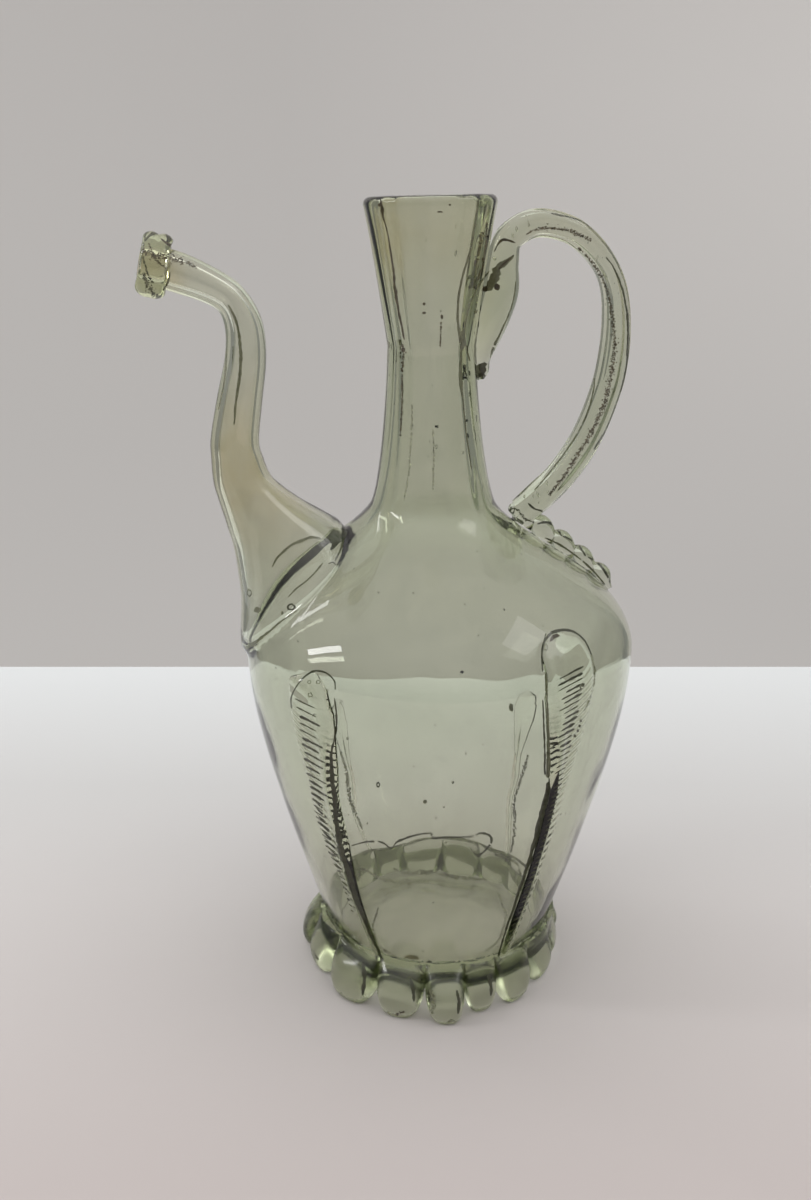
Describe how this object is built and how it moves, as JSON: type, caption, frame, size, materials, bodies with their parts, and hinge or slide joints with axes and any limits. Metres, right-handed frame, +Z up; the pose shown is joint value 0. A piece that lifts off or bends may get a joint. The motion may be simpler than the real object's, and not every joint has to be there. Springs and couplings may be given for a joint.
{
  "type": "ewer",
  "caption": "Hand-blown clear glass ewer with a slender neck, S-shaped spout, looped handle, milled leaves on the wall and a pinched, lobed foot.",
  "frame": {"origin": "under the middle of the ewer's bounding box, at the height of the surface that it stands on", "axes": "+Z up from the foot to the rim, +X from the spout towards the handle"},
  "size_m": [0.1328, 0.1088, 0.22],
  "materials": {
    "clear_glass": "pale grey-green hand-blown glass, fire-polished, with small bubbles and faint brown staining"
  },
  "bodies": {
    "root": {"body": "clear_glass", "spout": "clear_glass", "spout_lip_ring": "clear_glass", "handle": "clear_glass", "foot_ring": "clear_glass", "leaf_front_left": "clear_glass", "leaf_front_right": "clear_glass", "leaf_back_right": "clear_glass", "leaf_back_left": "clear_glass"}
  },
  "joints": []
}
